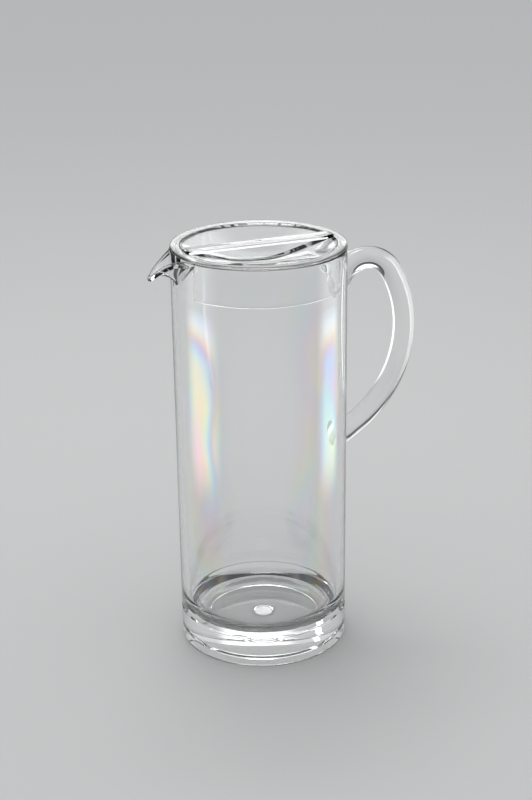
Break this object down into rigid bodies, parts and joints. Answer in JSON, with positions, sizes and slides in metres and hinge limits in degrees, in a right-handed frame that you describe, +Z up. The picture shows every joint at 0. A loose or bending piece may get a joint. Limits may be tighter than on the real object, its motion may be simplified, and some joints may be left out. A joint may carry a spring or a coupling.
{
  "type": "beer pitcher",
  "caption": "Tall clear plastic pitcher with a thick foot, ear handle, pouring beak and a loose round lid that turns to open or shut the beak",
  "frame": {"origin": "centre of the face that the foot rests on", "axes": "+Z up along the barrel's axis, +X towards the handle, -X towards the beak"},
  "size_m": [0.1704, 0.105, 0.2554],
  "materials": {
    "clear_body": "clear polished moulded plastic, faint stress colours in the wall",
    "clear_foot": "clear polished thick plastic",
    "clear_rod": "clear polished bent rod",
    "clear_lid": "clear polished moulded plastic"
  },
  "bodies": {
    "jug": {"barrel": "clear_body", "foot": "clear_foot", "beak": "clear_body", "handle": "clear_rod"},
    "lid_seat": {"lid_rim": "clear_lid"},
    "lid_top": {"lid_dish": "clear_lid", "lid_bar": "clear_lid", "lid_skirt": "clear_lid"}
  },
  "joints": [
    {"name": "lid_lift", "type": "slide", "parent": "jug", "child": "lid_seat", "axis": [0, 0, 1], "range_m": [0, 0.06]},
    {"name": "lid_turn", "type": "hinge", "parent": "lid_seat", "child": "lid_top", "pos_m": [0, 0, 0.2524], "axis": [0, 0, 1], "continuous": true}
  ]
}
